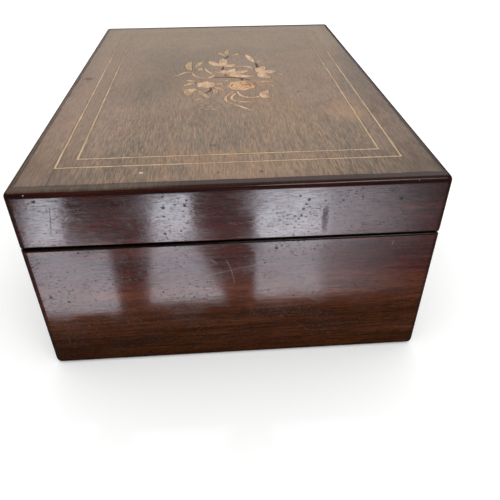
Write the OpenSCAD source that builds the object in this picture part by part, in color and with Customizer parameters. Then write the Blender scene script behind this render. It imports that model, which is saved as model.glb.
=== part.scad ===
// Inlaid wooden box with a hinged lid: a dovetailed softwood carcass under sawn veneers,
// solid edging round the top, two rectangles of light stringing, a marquetry bouquet,
// two brass butt hinges along the back and a mortised box lock in the front.
// Frame: X runs along the length, the front with the lock faces -Y, Z is up,
// and the origin is the centre of the underside.

/* [Overall size] */
// Length along X, over the veneers
box_l = 300; // [240:5:360]
// Width along Y, over the veneers
box_w = 200; // [160:1:240]
// Height of the lower box, up to the middle of the seam at the hinges
base_h = 77; // [60:1:110]
// Height of the lid above the seam
lid_h = 30; // [25:1:50]

/* [Boards and veneers] */
// Thickness of the carcass wall boards
board_t = 8; // [6.6:0.2:12]
// Thickness of the sawn veneers
veneer_t = 1; // [0.8:0.1:1.2]
// Thickness of the bottom board
bottom_t = 6; // [4:0.5:8]
// How far the bottom board is let into each wall
bottom_lip = 4; // [3:0.5:5]
// Thickness of the board under the top veneers
lid_top_t = 7; // [5:0.5:9]
// Facing glued along the rims at the seam
facing_t = 1; // [0.8:0.1:1.2]
// Number of dovetails at a corner of the lower box
base_tails = 3; // [2:1:5]
// Number of dovetails at a corner of the lid
lid_tails = 1; // [1:1:2]
// How much wider a dovetail is on each side at its end
tail_flare = 1.3; // [0.6:0.1:1.6]

/* [Seam and arrises] */
// Gap between the rims at the hinges
gap_back = 0.6; // [0.5:0.1:1]
// Gap between the rims at the front, where the lid has warped up
gap_front = 1.3; // [1:0.1:1.5]
// Radius of the four upright arrises
corner_r = 3.2; // [1:0.2:3.2]
// Radius of the arrises round the underside
bottom_r = 3; // [1:0.2:3.4]
// Radius of the arrises along the seam
seam_r = 1; // [0.5:0.1:1.2]
// Radius of the worn arrises round the top
top_r = 2.6; // [1:0.2:3.4]

/* [Top] */
// Width of the solid edging on the long sides
edging_side_w = 3.5; // [3:0.5:5]
// Width of the solid edging at the ends
edging_end_w = 6; // [4:0.5:9]
// Height of the solid edging
edging_h = 3.5; // [3:0.5:5]
// Distance from a long side to the outer line of stringing
string_side_inset = 17.7; // [14:0.1:22]
// Distance from an end to the outer line of stringing
string_end_inset = 23; // [18:0.5:28]
// Distance between the two lines of stringing
string_pitch = 8.8; // [6:0.1:12]
// Width of a line of stringing
string_w = 1; // [0.8:0.1:1.4]
// Saw cut round each piece of marquetry
kerf = 0.25; // [0.1:0.05:0.3]
// Cut between the two halves of a leaf
midrib = 0.2; // [0.1:0.05:0.3]

/* [Lining] */
// Thickness of the pad on the floor
floor_pad_t = 3; // [2:0.5:6]
// Thickness of the lined panels on the walls
wall_pad_t = 1.5; // [1:0.5:3]
// Thickness of the pad inside the lid
lid_pad_t = 2.5; // [2:0.5:4]
// Bare wood left between the lining and the seam
lining_drop = 5; // [4:0.5:8]

/* [Hinges] */
// Distance of each hinge from the middle of the back
hinge_x = 90; // [70:1:95]
// Length of a hinge leaf
leaf_l = 38; // [30:1:46]
// Width of a hinge leaf, from its edge to the pin
leaf_w = 6.5; // [6:0.5:7]
// Thickness of a hinge leaf
leaf_t = 1.2; // [1:0.1:1.4]
// Radius of a hinge knuckle
knuckle_r = 1.7; // [1.6:0.1:2]
// Radius of a hinge pin
pin_r = 0.8; // [0.7:0.05:1]
// Radial clearance of the pin in the knuckles that turn on it
pin_clearance = 0.05; // [0.02:0.01:0.1]
// Angle at which the lid's back bevel meets the lower box
open_angle = 100; // [95:1:105]

/* [Lock] */
// Length of the lock case
lock_l = 50; // [44:1:60]
// Depth of the lock case and its cap
lock_d = 6; // [6:0.1:6.2]
// Height of the lock case
lock_h = 22; // [20:1:26]
// How far the brass plate on each rim runs past each end of the lock
plate_end = 8; // [7:0.5:12]
// Width of the brass plates
plate_w = 7; // [6.6:0.2:7.4]
// Distance of each staple from the middle of the lock
staple_x = 12; // [11:0.5:15]
// Length of a staple below the lid's rim
staple_h = 8; // [7.5:0.5:9]
// How far the bolt slides
bolt_travel = 3.2; // [3:0.1:3.4]

/* [Hidden] */
$fn = 64;

// A cutter runs this far past the face it goes through
over = 1;
// Clearance all round a piece of metal let into the wood
let_in = 0.1;
// Clearance round a screw
screw_fit = 0.03;

rosewood = [0.30, 0.12, 0.09];
faded_rosewood = [0.55, 0.45, 0.38];
softwood = [0.74, 0.60, 0.42];
boxwood = [0.84, 0.68, 0.48];
brass_colour = [0.78, 0.62, 0.32];
steel_colour = [0.45, 0.45, 0.47];
velvet = [0.35, 0.05, 0.10];

// Half sizes over the veneers, over the carcass and inside it
hl = box_l / 2;
hw = box_w / 2;
cl = hl - veneer_t;
cw = hw - veneer_t;
il = cl - board_t;
iw = cw - board_t;

// Heights
top_z = base_h + lid_h;
rim_z = base_h - gap_back / 2;
lid_rim_z = base_h + gap_back / 2;
warp = gap_front - gap_back;
warp_angle = atan(warp / box_w);
board_top_z = rim_z - facing_t;
lid_board_z = lid_rim_z + warp + facing_t;
lid_ceiling_z = top_z - veneer_t - lid_top_t;
edging_z = top_z - edging_h;
veneer_z = top_z - veneer_t;

// Hinge axis, level with the seam, where a knuckle is flush with the back
axis_y = hw - knuckle_r;
// The bevels along the back meet, less a clearance, when the lid is fully open
bevel_clear = 0.1;
bevel_rise = (knuckle_r + bevel_clear) * tan(open_angle / 2);
bevel_y = axis_y - bevel_clear + gap_back / 2 / tan(open_angle / 2);
knuckle_gap = 0.15;
knuckles = 5;
knuckle_clear = 0.4;
hinge_screw_r = 0.8;
hinge_screw_l = 7;
hinge_screw_pitch = leaf_l / 3;
hinge_screw_y = axis_y - leaf_w / 2 - knuckle_r / 2;

// Half sizes of the two rectangles of stringing, to the middle of a line
outer_string_x = hl - string_end_inset;
outer_string_y = hw - string_side_inset;
inner_string_x = outer_string_x - string_pitch;
inner_string_y = outer_string_y - string_pitch;

// Lock
lock_wall = 1;
lock_y = -iw - lock_d;
plate_t = 1.2;
lock_top_z = rim_z - plate_t;
lock_z = lock_top_z - lock_h;
keyhole_z = lock_top_z - 12;
key_pin_r = 0.9;
bolt_clear = 0.5;
bolt_y = lock_y + lock_wall + bolt_clear;
bolt_d = lock_d - 2 * lock_wall - 2 * bolt_clear;
bar_z = keyhole_z + 2;
bar_h = 3;
staple_t = 2;
eye_w = 1.7;
eye_h = 2.8;
finger_w = 0.9;
finger_h = 1.8;
finger_gap = 0.6;
finger_l = bolt_travel + 0.2;
post_t = 2;
eye_z = lid_rim_z + warp - staple_h + eye_h / 2 + 1;
plate_l = lock_l + 2 * plate_end;
plate_screw_r = 0.8;
plate_screw_l = 7;
plate_screw_x = (lock_l + plate_end) / 2;

// ---------- shared shapes ----------

// Cutter that rounds a corner of an outline; sx and sy point out of the corner
module round_off(corner, sx, sy, r) {
  translate(corner)
    mirror([sx < 0 ? 1 : 0, 0])
      mirror([0, sy < 0 ? 1 : 0])
        translate([-r, -r])
          difference() {
            square(r + over);
            circle(r);
          }
}

// Extrudes an outline drawn in Y and Z along X
module along_x(length) {
  rotate([90, 0, 90])
    linear_extrude(length, center = true) children();
}

// Extrudes an outline drawn in X and Z along Y
module along_y(length) {
  rotate([90, 0, 0])
    linear_extrude(length, center = true) children();
}

// Box from its low corner to its high corner
module block(low, high) {
  translate(low) cube(high - low);
}

// What is worn off an upright arris of the box between two heights, and off the corner at
// its lower end (sz = -1) or its upper end (sz = 1); sx and sy point out of the box
module corner_off(sx, sy, sz, z0, z1, r) {
  translate([sx * (hl - corner_r), sy * (hw - corner_r), 0])
    difference() {
      translate([sx < 0 ? -corner_r - over : 0, sy < 0 ? -corner_r - over : 0, z0 - over])
        cube([corner_r + over, corner_r + over, z1 - z0 + 2 * over]);
      rotate_extrude()
        difference() {
          translate([0, z0]) square([corner_r, z1 - z0]);
          round_off([corner_r, sz < 0 ? z0 : z1], 1, sz, min(r, corner_r));
        }
    }
}

// The space that the lower box fills, with its arrises and corners rounded
module base_envelope() {
  difference() {
    base_block();
    for (sx = [-1, 1], sy = [-1, 1])
      corner_off(sx, sy, -1, 0, rim_z + 2 * over, bottom_r);
  }
}

// The lower box with its level arrises rounded and its back edge bevelled
module base_block() {
  intersection() {
    along_x(box_l + 2 * over)
      difference() {
        polygon([
          [-hw, 0], [hw, 0], [hw, base_h - bevel_rise],
          [bevel_y, rim_z], [-hw, rim_z]
        ]);
        round_off([-hw, 0], -1, -1, bottom_r);
        round_off([hw, 0], 1, -1, bottom_r);
        round_off([-hw, rim_z], -1, 1, seam_r);
      }
    along_y(box_w + 2 * over)
      difference() {
        translate([-hl, 0]) square([box_l, rim_z]);
        for (s = [-1, 1]) {
          round_off([s * hl, 0], s, -1, bottom_r);
          round_off([s * hl, rim_z], s, 1, seam_r);
        }
      }
  }
}

// The space that the lid fills, with its arrises and corners rounded
module lid_envelope() {
  difference() {
    lid_block();
    for (sx = [-1, 1], sy = [-1, 1])
      corner_off(sx, sy, 1, lid_rim_z - 2 * over, top_z, top_r);
  }
}

// The lid with its level arrises rounded; its rim rises towards the front by the warp
module lid_block() {
  intersection() {
    along_x(box_l + 2 * over)
      difference() {
        polygon([
          [-hw, lid_rim_z + warp], [bevel_y, lid_rim_z],
          [hw, base_h + bevel_rise], [hw, top_z], [-hw, top_z]
        ]);
        round_off([-hw, lid_rim_z + warp], -1, -1, seam_r);
        round_off([-hw, top_z], -1, 1, top_r);
        round_off([hw, top_z], 1, 1, top_r);
      }
    along_y(box_w + 2 * over)
      difference() {
        translate([-hl, 0]) square([box_l, top_z]);
        for (s = [-1, 1]) round_off([s * hl, top_z], s, 1, top_r);
      }
    translate([0, hw, lid_rim_z])
      rotate([-warp_angle, 0, 0])
        translate([0, -hw, 0])
          along_y(2 * box_w)
            difference() {
              translate([-hl, -over / 10]) square([box_l, 2 * lid_h]);
              for (s = [-1, 1]) round_off([s * hl, 0], s, -1, seam_r);
            }
  }
}

// Dovetails at one end of a front or back board, between two heights
module tails(count, z0, z1, past) {
  pitch = (z1 - z0) / count;
  neck = pitch / 4;
  for (i = [0:count - 1])
    translate([0, z0 + pitch * (i + 0.5)])
      polygon([
        [il - over, -neck], [il, -neck], [cl, -neck - tail_flare], [cl + past, -neck - tail_flare],
        [cl + past, neck + tail_flare], [cl, neck + tail_flare], [il, neck], [il - over, neck]
      ]);
}

// Front board, or the back one mirrored, with a row of tails at each end
module tail_board(count, z0, z1) {
  block([-il, -cw, z0], [il, -iw, z1]);
  for (s = [0, 1])
    mirror([s, 0, 0])
      translate([0, -cw + board_t / 2, 0])
        along_y(board_t) tails(count, z0, z1, 0);
}

// Right board, or the left one mirrored, with the sockets that the tails fill
module socket_board(count, z0, z1) {
  difference() {
    block([il, -cw, z0], [cl, cw, z1]);
    for (s = [0, 1])
      mirror([0, s, 0])
        translate([0, -cw + (board_t - over) / 2, 0])
          along_y(board_t + over) tails(count, z0, z1, over);
  }
}

// Outline of a long veneer with mitred ends, run past the outer face
module side_sheet() {
  polygon([[-cl, -cw], [cl, -cw], [cl + 2 * over, -cw - 2 * over], [-cl - 2 * over, -cw - 2 * over]]);
}

// Outline of an end veneer with mitred ends, run past the outer face
module end_sheet() {
  polygon([[cl, -cw], [cl + 2 * over, -cw - 2 * over], [cl + 2 * over, cw + 2 * over], [cl, cw]]);
}

// Frame between two rectangles given by their half sizes
module ring(outer, inner) {
  difference() {
    square(2 * outer, center = true);
    square(2 * inner, center = true);
  }
}

// Countersunk screw, its head's face at the origin and its point along -Z
module screw(shank_r, length, grow = 0) {
  head_r = 2 * shank_r;
  rotate_extrude()
    polygon([
      [0, 0], [head_r + grow, 0], [shank_r + grow, -shank_r - grow],
      [shank_r + grow, -length + shank_r], [0, -length - grow]
    ]);
}

// The same with its slot cut
module slotted_screw(shank_r, length) {
  difference() {
    screw(shank_r, length);
    translate([0, 0, -shank_r / 4])
      linear_extrude(shank_r) square([5 * shank_r, 0.4 * shank_r], center = true);
  }
}

// ---------- carcass of the lower box ----------

module base_cuts_front() {
  plate_space(lock_top_z, rim_z + over);
  lock_screw_places() screw(plate_screw_r, plate_screw_l, screw_fit);
}

module base_cuts_back() {
  hinge_pairs() hinge_space(-1);
  hinge_pairs() leaf_screw_places(-1) screw(hinge_screw_r, hinge_screw_l, screw_fit);
}

module bottom_space() {
  block([-il - bottom_lip, -iw - bottom_lip, -over], [il + bottom_lip, iw + bottom_lip, bottom_t]);
}

module base_front_board() color(softwood)
  difference() {
    intersection() {
      tail_board(base_tails, 0, board_top_z);
      base_envelope();
    }
    bottom_space();
    nail_places() nail();
    lock_space();
    base_cuts_front();
    keyhole_space();
  }

module base_back_board() color(softwood)
  difference() {
    intersection() {
      mirror([0, 1, 0]) tail_board(base_tails, 0, board_top_z);
      base_envelope();
    }
    bottom_space();
    nail_places() nail();
    base_cuts_back();
  }

module base_end_board(side) color(softwood)
  difference() {
    intersection() {
      mirror([side, 0, 0]) socket_board(base_tails, 0, board_top_z);
      base_envelope();
    }
    bottom_space();
    nail_places() nail();
  }

module bottom_board() color(softwood)
  difference() {
    block([-il - bottom_lip, -iw - bottom_lip, 0], [il + bottom_lip, iw + bottom_lip, bottom_t]);
    nail_places() nail();
  }

nail_l = 14;
nails_per_side = 3;

// Cut nail with a flat head let in flush
module nail() {
  cylinder(r = 0.6, h = nail_l);
  cylinder(r = 1.3, h = 0.8);
}

module nail_places() {
  inset = bottom_lip / 2;
  for (i = [0:nails_per_side - 1], s = [-1, 1]) {
    share = (i + 0.5) * 2 / nails_per_side - 1;
    translate([share * il, s * (iw + inset), 0]) children();
    translate([s * (il + inset), share * iw, 0]) children();
  }
}

module bottom_nails() color(steel_colour) nail_places() nail();

// ---------- skin of the lower box ----------

module base_side_veneer(side) color(rosewood)
  difference() {
    intersection() {
      mirror([0, side, 0]) linear_extrude(rim_z + over) side_sheet();
      base_envelope();
    }
    if (side == 0) escutcheon_space();
    if (side == 1) hinge_pairs() hinge_space(-1);
  }

module base_end_veneer(side) color(rosewood)
  intersection() {
    mirror([side, 0, 0]) linear_extrude(rim_z + over) end_sheet();
    base_envelope();
  }

module base_rim_facings() color(rosewood)
  difference() {
    intersection() {
      translate([0, 0, board_top_z])
        linear_extrude(facing_t + over) ring([cl, cw], [il, iw]);
      base_envelope();
    }
    base_cuts_back();
    base_cuts_front();
  }

// ---------- lining ----------

module floor_lining() color(velvet)
  block([-il, -iw, bottom_t], [il, iw, bottom_t + floor_pad_t]);

module base_wall_linings() color(velvet)
  difference() {
    translate([0, 0, bottom_t + floor_pad_t])
      linear_extrude(rim_z - lining_drop - bottom_t - floor_pad_t)
        ring([il, iw], [il - wall_pad_t, iw - wall_pad_t]);
    block(
      [-lock_l / 2 - over, -iw - over, lock_z - over],
      [lock_l / 2 + over, -iw + wall_pad_t + over, rim_z]
    );
  }

module lid_lining_panel() color(velvet)
  block([-il, -iw, lid_ceiling_z - lid_pad_t], [il, iw, lid_ceiling_z]);

module lid_wall_linings() color(velvet)
  translate([0, 0, lid_board_z + lining_drop / 2])
    linear_extrude(lid_ceiling_z - lid_pad_t - lid_board_z - lining_drop / 2)
      ring([il, iw], [il - wall_pad_t, iw - wall_pad_t]);

// ---------- hinges ----------

// Both hinge stations along the back
module hinge_pairs() {
  for (s = [-1, 1]) translate([s * hinge_x, 0, 0]) children();
}

// Half plate of a leaf: level -1 on the lower box, 1 on the lid
module leaf_plate(level, grow) {
  low = level < 0 ? rim_z - leaf_t : lid_rim_z;
  block(
    [-leaf_l / 2 - grow, axis_y - leaf_w - grow, low - (level < 0 ? 0 : grow)],
    [leaf_l / 2 + grow, axis_y, low + leaf_t + (level < 0 ? grow : 0)]
  );
}

// The recess that a leaf and the knuckles lie in
module hinge_space(level) {
  low = level < 0 ? rim_z - leaf_t : lid_rim_z - over;
  high = level < 0 ? rim_z + over : lid_rim_z + leaf_t;
  block(
    [-leaf_l / 2 - let_in, axis_y - leaf_w - let_in, low],
    [leaf_l / 2 + let_in, hw + over, high]
  );
  translate([0, axis_y, base_h])
    rotate([0, 90, 0])
      cylinder(r = knuckle_r + knuckle_clear, h = leaf_l + 2 * let_in, center = true);
}

// Every second knuckle from the given one, each with a radius and a gap taken off its ends
module knuckle_row(first, r, trim) {
  pitch = leaf_l / knuckles;
  for (i = [first:2:knuckles - 1])
    translate([-leaf_l / 2 + i * pitch + trim, axis_y, base_h])
      rotate([0, 90, 0])
        cylinder(r = r, h = pitch - 2 * trim);
}

// Screws of a leaf: they point down into the lower box and up into the lid
module leaf_screw_places(level) {
  for (i = [-1:1])
    translate([i * hinge_screw_pitch, hinge_screw_y, level < 0 ? rim_z : lid_rim_z])
      rotate([level < 0 ? 0 : 180, 0, 0])
        children();
}

module leaf(level) color(brass_colour)
  difference() {
    union() {
      leaf_plate(level, 0);
      knuckle_row(level < 0 ? 0 : 1, knuckle_r, knuckle_gap / 2);
    }
    knuckle_row(level < 0 ? 1 : 0, knuckle_r + knuckle_clear, -knuckle_gap / 2);
    translate([0, axis_y, base_h])
      rotate([0, 90, 0])
        cylinder(r = pin_r + (level < 0 ? 0 : pin_clearance), h = leaf_l + 2 * over, center = true);
    leaf_screw_places(level) screw(hinge_screw_r, hinge_screw_l, screw_fit);
  }

module hinge_pin() color(steel_colour)
  translate([0, axis_y, base_h])
    rotate([0, 90, 0])
      cylinder(r = pin_r, h = leaf_l, center = true);

module hinge_screws(level) color(brass_colour)
  hinge_pairs() leaf_screw_places(level) slotted_screw(hinge_screw_r, hinge_screw_l);

// ---------- lock ----------

// The mortise in the front board, open to the inside
module lock_space() {
  block(
    [-lock_l / 2 - let_in, lock_y - let_in, lock_z - let_in],
    [lock_l / 2 + let_in, -iw + over, rim_z + over]
  );
}

// The recess for a brass plate between two heights
module plate_space(z0, z1) {
  block(
    [-plate_l / 2 - let_in, -iw - plate_w - let_in, z0],
    [plate_l / 2 + let_in, -iw + over, z1]
  );
}

// Keyhole outline, drawn in X and Z with its round at the origin
module keyhole(r, slot_w, drop) {
  circle(r);
  translate([-slot_w / 2, -drop]) square([slot_w, drop]);
}

keyhole_r = 2;
keyhole_slot = 1.8;
keyhole_drop = 6;
escutcheon_rim = 1.2;
escutcheon_t = 2.2;

module keyhole_space() {
  translate([0, -hw, keyhole_z])
    along_y(2 * (veneer_t + board_t)) keyhole(keyhole_r, keyhole_slot, keyhole_drop);
  escutcheon_space();
}

module escutcheon_space() {
  translate([0, -hw, keyhole_z])
    along_y(2 * (escutcheon_t + let_in))
      keyhole(
        keyhole_r + escutcheon_rim + let_in,
        keyhole_slot + 2 * (escutcheon_rim + let_in),
        keyhole_drop + escutcheon_rim + let_in
      );
}

// Brass thread that lines the keyhole, flush with the veneer
module keyhole_escutcheon() color(brass_colour)
  difference() {
    translate([0, -hw + escutcheon_t / 2, keyhole_z])
      along_y(escutcheon_t)
        keyhole(
          keyhole_r + escutcheon_rim,
          keyhole_slot + 2 * escutcheon_rim,
          keyhole_drop + escutcheon_rim
        );
    translate([0, -hw, keyhole_z])
      along_y(4 * escutcheon_t) keyhole(keyhole_r, keyhole_slot, keyhole_drop);
  }

// Open tray: its back shows inside the box, and its front is closed by the cap
module lock_case() color(brass_colour)
  difference() {
    block([-lock_l / 2, lock_y + lock_wall, lock_z], [lock_l / 2, -iw, lock_top_z]);
    block(
      [-lock_l / 2 + lock_wall, lock_y - over, lock_z + lock_wall],
      [lock_l / 2 - lock_wall, -iw - lock_wall, lock_top_z + over]
    );
    translate([0, -iw, keyhole_z])
      rotate([90, 0, 0])
        cylinder(r = key_pin_r, h = 4 * lock_wall, center = true);
  }

module lock_cap() color(brass_colour)
  difference() {
    block([-lock_l / 2, lock_y, lock_z], [lock_l / 2, lock_y + lock_wall, lock_top_z]);
    translate([0, lock_y, keyhole_z])
      along_y(4 * lock_wall) keyhole(keyhole_r, keyhole_slot, keyhole_drop);
  }

module lock_screw_places() {
  for (s = [-1, 1])
    translate([s * plate_screw_x, -iw - plate_w / 2, rim_z]) children();
}

module lock_selvedge() color(brass_colour)
  difference() {
    block([-plate_l / 2, -iw - plate_w, lock_top_z], [plate_l / 2, -iw, rim_z]);
    for (s = [-1, 1])
      translate([s * staple_x, bolt_y + bolt_d / 2, rim_z])
        cube([staple_t + 4 * bolt_clear, bolt_d + 2 * bolt_clear, 4 * plate_t], center = true);
    lock_screw_places() screw(plate_screw_r, plate_screw_l, screw_fit);
  }

module lock_key_pin() color(steel_colour)
  translate([0, -iw, keyhole_z])
    rotate([90, 0, 0])
      cylinder(r = key_pin_r, h = lock_d + over);

// Sliding bolt: a bar with two posts, each with a finger that passes through a staple's eye
module lock_bolt() color(steel_colour) {
  reach = staple_x - staple_t / 2 - finger_gap;
  post_h = eye_z + finger_h / 2 - bar_z;
  block(
    [-staple_x - lock_l / 8, bolt_y, bar_z],
    [staple_x + lock_l / 8, bolt_y + bolt_d, bar_z + bar_h]
  );
  for (s = [-1, 1])
    translate([(s - 1) * staple_x, 0, 0]) {
      translate([reach - finger_l - post_t, bolt_y, bar_z])
        cube([post_t, bolt_d, post_h]);
      translate([reach - finger_l - over, bolt_y + (bolt_d - finger_w) / 2, eye_z - finger_h / 2])
        cube([finger_l + over, finger_w, finger_h]);
    }
}

// Leaf spring under the bolt, bowed up to just below it
module lock_spring() color(steel_colour) {
  spring_t = 0.5;
  span = lock_l / 4;
  rise = bar_z - lock_z - lock_wall - spring_t - 0.3;
  r = (span * span + rise * rise) / (2 * rise);
  translate([-lock_l / 2 + lock_wall + span + 0.5, bolt_y + bolt_d / 2, 0])
    along_y(bolt_d)
      intersection() {
        translate([0, lock_z + lock_wall + rise - r])
          difference() {
            circle(r + spring_t);
            circle(r);
          }
        translate([-span, lock_z + lock_wall]) square([2 * span, rise + 2 * spring_t]);
      }
}

module lock_screws() color(brass_colour)
  lock_screw_places() slotted_screw(plate_screw_r, plate_screw_l);

// ---------- link plate on the lid ----------

module link_screw_places() {
  for (s = [-1, 1])
    translate([s * plate_screw_x, -iw - plate_w / 2, lid_rim_z + warp])
      rotate([180, 0, 0])
        children();
}

module link_plate() color(brass_colour)
  difference() {
    union() {
      intersection() {
        block([-plate_l / 2, -iw - plate_w, base_h], [plate_l / 2, -iw, lid_rim_z + warp + plate_t]);
        lid_envelope();
      }
      for (s = [-1, 1])
        translate([s * staple_x - staple_t / 2, bolt_y, lid_rim_z + warp - staple_h])
          cube([staple_t, bolt_d, staple_h + plate_t / 2]);
    }
    for (s = [-1, 1])
      translate([s * staple_x, bolt_y + bolt_d / 2, eye_z])
        cube([2 * staple_t, eye_w, eye_h], center = true);
    link_screw_places() screw(plate_screw_r, plate_screw_l, screw_fit);
  }

module link_screws() color(brass_colour)
  intersection() {
    link_screw_places() slotted_screw(plate_screw_r, plate_screw_l);
    lid_envelope();
  }

// ---------- lid ----------

module lid_cuts_front() {
  plate_space(base_h, lid_rim_z + warp + plate_t);
  link_screw_places() screw(plate_screw_r, plate_screw_l, screw_fit);
}

module lid_cuts_back() {
  hinge_pairs() hinge_space(1);
  hinge_pairs() leaf_screw_places(1) screw(hinge_screw_r, hinge_screw_l, screw_fit);
}

module lid_side_board(side) color(softwood)
  difference() {
    intersection() {
      mirror([0, side, 0]) tail_board(lid_tails, lid_board_z, lid_ceiling_z);
      lid_envelope();
    }
    if (side == 0) lid_cuts_front();
    if (side == 1) lid_cuts_back();
  }

module lid_end_board(side) color(softwood)
  intersection() {
    mirror([side, 0, 0]) socket_board(lid_tails, lid_board_z, lid_ceiling_z);
    lid_envelope();
  }

module lid_side_veneer(side) color(rosewood)
  difference() {
    intersection() {
      mirror([0, side, 0]) linear_extrude(edging_z) side_sheet();
      lid_envelope();
    }
    if (side == 1) hinge_pairs() hinge_space(1);
  }

module lid_end_veneer(side) color(rosewood)
  intersection() {
    mirror([side, 0, 0]) linear_extrude(edging_z) end_sheet();
    lid_envelope();
  }

module lid_rim_facings() color(rosewood)
  difference() {
    intersection() {
      translate([0, 0, base_h])
        linear_extrude(lid_board_z - base_h) ring([cl, cw], [il, iw]);
      lid_envelope();
    }
    lid_cuts_back();
    lid_cuts_front();
  }

module lid_top_board() color(softwood)
  difference() {
    block([-cl, -cw, lid_ceiling_z], [cl, cw, veneer_z]);
    translate([0, 0, edging_z])
      linear_extrude(edging_h)
        ring([hl + over, hw + over], [hl - edging_end_w, hw - edging_side_w]);
  }

// ---------- edging and stringing ----------

// Line from the outer corner to the inner corner of the edging, run past the outer corner
edging_in = [hl - edging_end_w, hw - edging_side_w];
edging_out = [hl + edging_end_w, hw + edging_side_w];

module edging_side(side) color(rosewood)
  intersection() {
    mirror([0, side, 0])
      translate([0, 0, edging_z])
        linear_extrude(edging_h + over)
          polygon([
            [-edging_in[0], -edging_in[1]], [edging_in[0], -edging_in[1]],
            [edging_out[0], -edging_out[1]], [-edging_out[0], -edging_out[1]]
          ]);
    lid_envelope();
  }

module edging_end(side) color(rosewood)
  intersection() {
    mirror([side, 0, 0])
      translate([0, 0, edging_z])
        linear_extrude(edging_h + over)
          polygon([
            [edging_in[0], -edging_in[1]], [edging_out[0], -edging_out[1]],
            [edging_out[0], edging_out[1]], [edging_in[0], edging_in[1]]
          ]);
    lid_envelope();
  }

// Lays a flat shape in the layer of top veneers
module in_top() {
  translate([0, 0, veneer_z]) linear_extrude(veneer_t) children();
}

half_line = string_w / 2;

// Long border strips run the full length, and the end strips butt between them
module outer_border_sides() color(faded_rosewood)
  in_top()
    for (s = [0, 1])
      mirror([0, s])
        translate([-edging_in[0], outer_string_y + half_line])
          square([2 * edging_in[0], edging_in[1] - outer_string_y - half_line]);

module outer_border_ends() color(faded_rosewood)
  in_top()
    for (s = [0, 1])
      mirror([s, 0])
        translate([outer_string_x + half_line, -outer_string_y - half_line])
          square([edging_in[0] - outer_string_x - half_line, 2 * outer_string_y + string_w]);

module string_frame(x, y) {
  ring([x + half_line, y + half_line], [x - half_line, y - half_line]);
}

module outer_string() color(boxwood)
  in_top() string_frame(outer_string_x, outer_string_y);

module inner_border() color(faded_rosewood)
  in_top()
    ring(
      [outer_string_x - half_line, outer_string_y - half_line],
      [inner_string_x + half_line, inner_string_y + half_line]
    );

module inner_string() color(boxwood)
  in_top() string_frame(inner_string_x, inner_string_y);

// ---------- marquetry ----------
// The bouquet is drawn with its top along +Y of the drawing and turned so that the top
// of the bouquet points to the left end of the box.

curve_steps = 8;

// Point, and unit normal, on the quadratic curve with the three given control points
function curve(p, t) = (1 - t) * (1 - t) * p[0] + 2 * t * (1 - t) * p[1] + t * t * p[2];
function slope(p, t) = (1 - t) * (p[1] - p[0]) + t * (p[2] - p[1]);
function normal(p, t) = [-slope(p, t)[1], slope(p, t)[0]] / norm(slope(p, t));
function unit(v) = v / norm(v);

// One edge of a blade, at a distance from its curve that the fullness shapes
function leaf_fullness(t) = pow(sin(180 * t), 0.8);
function strip_fullness(t) = 0.55 + 0.45 * sin(180 * t);
function leaf_edge(p, w, side, grow) = [
  for (i = [1:curve_steps - 1])
    let (t = i / curve_steps)
      curve(p, t) + side * (leaf_fullness(t) * w / 2 + grow) * normal(p, t)
];
function strip_edge(p, w, side, grow) = [
  for (i = [0:curve_steps])
    let (t = i / curve_steps)
      curve(p, t) + side * (strip_fullness(t) * w / 2 + grow) * normal(p, t)
];
function backwards(list) = [for (i = [len(list) - 1:-1:0]) list[i]];

// Leaf pointed at both ends, grown all round for its pocket
module leaf_shape(p, w, grow) {
  polygon(concat(
    [p[0] - 3 * grow * unit(slope(p, 0))],
    leaf_edge(p, w, 1, grow),
    [p[2] + 3 * grow * unit(slope(p, 1))],
    backwards(leaf_edge(p, w, -1, grow))
  ));
}

// The same leaf as two pieces with a cut along the midrib
module split_leaf(p, w) {
  for (side = [-1, 1])
    polygon(concat(
      leaf_edge(p, w, side, 0),
      [for (i = [curve_steps:-1:0])
        curve(p, i / curve_steps) + side * midrib / 2 * normal(p, i / curve_steps)]
    ));
}

// Narrow strip, thinner at its ends
module strip_shape(p, w, grow) {
  polygon(concat(strip_edge(p, w, 1, grow), backwards(strip_edge(p, w, -1, grow))));
}

// Each stem, ribbon or tendril: three control points and a width
stems = [
  [[-6, 0.8], [8, 2.4], [18, -6.6], 1.3],
  [[24.6, 31.5], [25.8, 22], [24.2, 12], 1.3],
  [[1, 24], [-1.5, 14], [2, 4], 1.2],
  [[6, 52], [3, 46], [2, 43], 1],
  [[12, -7], [12.5, -4], [13, -1.5], 1.2],
  [[-9, -20], [-7, -24], [-12, -30], 0.9]
];
ribbons = [
  [[-30, 8.5], [-27, 14.5], [-21.5, 13.5], 1.9],
  [[-21, 13], [-19.5, 0.5], [-11.5, -0.4], 2.1],
  [[-10.8, 0.2], [-7.5, 1], [-5.8, 7.4], 1.7],
  [[-12.4, 23.6], [-11, 14], [-7, 8.6], 1.8],
  [[10.5, 25.2], [22, 26], [21, 15], 2],
  [[8.2, -28], [9.5, -43.5], [21.5, -38.5], 1.9],
  [[5.8, -28], [-5, -42], [4.6, -50.4], 1.8],
  [[5.4, -51], [9, -54.5], [14.4, -61], 1.6],
  [[7, -31.5], [0.5, -42], [7.5, -45.8], 1.5],
  [[8.1, -46.2], [11, -47.8], [16.5, -47.2], 1.4]
];
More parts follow.
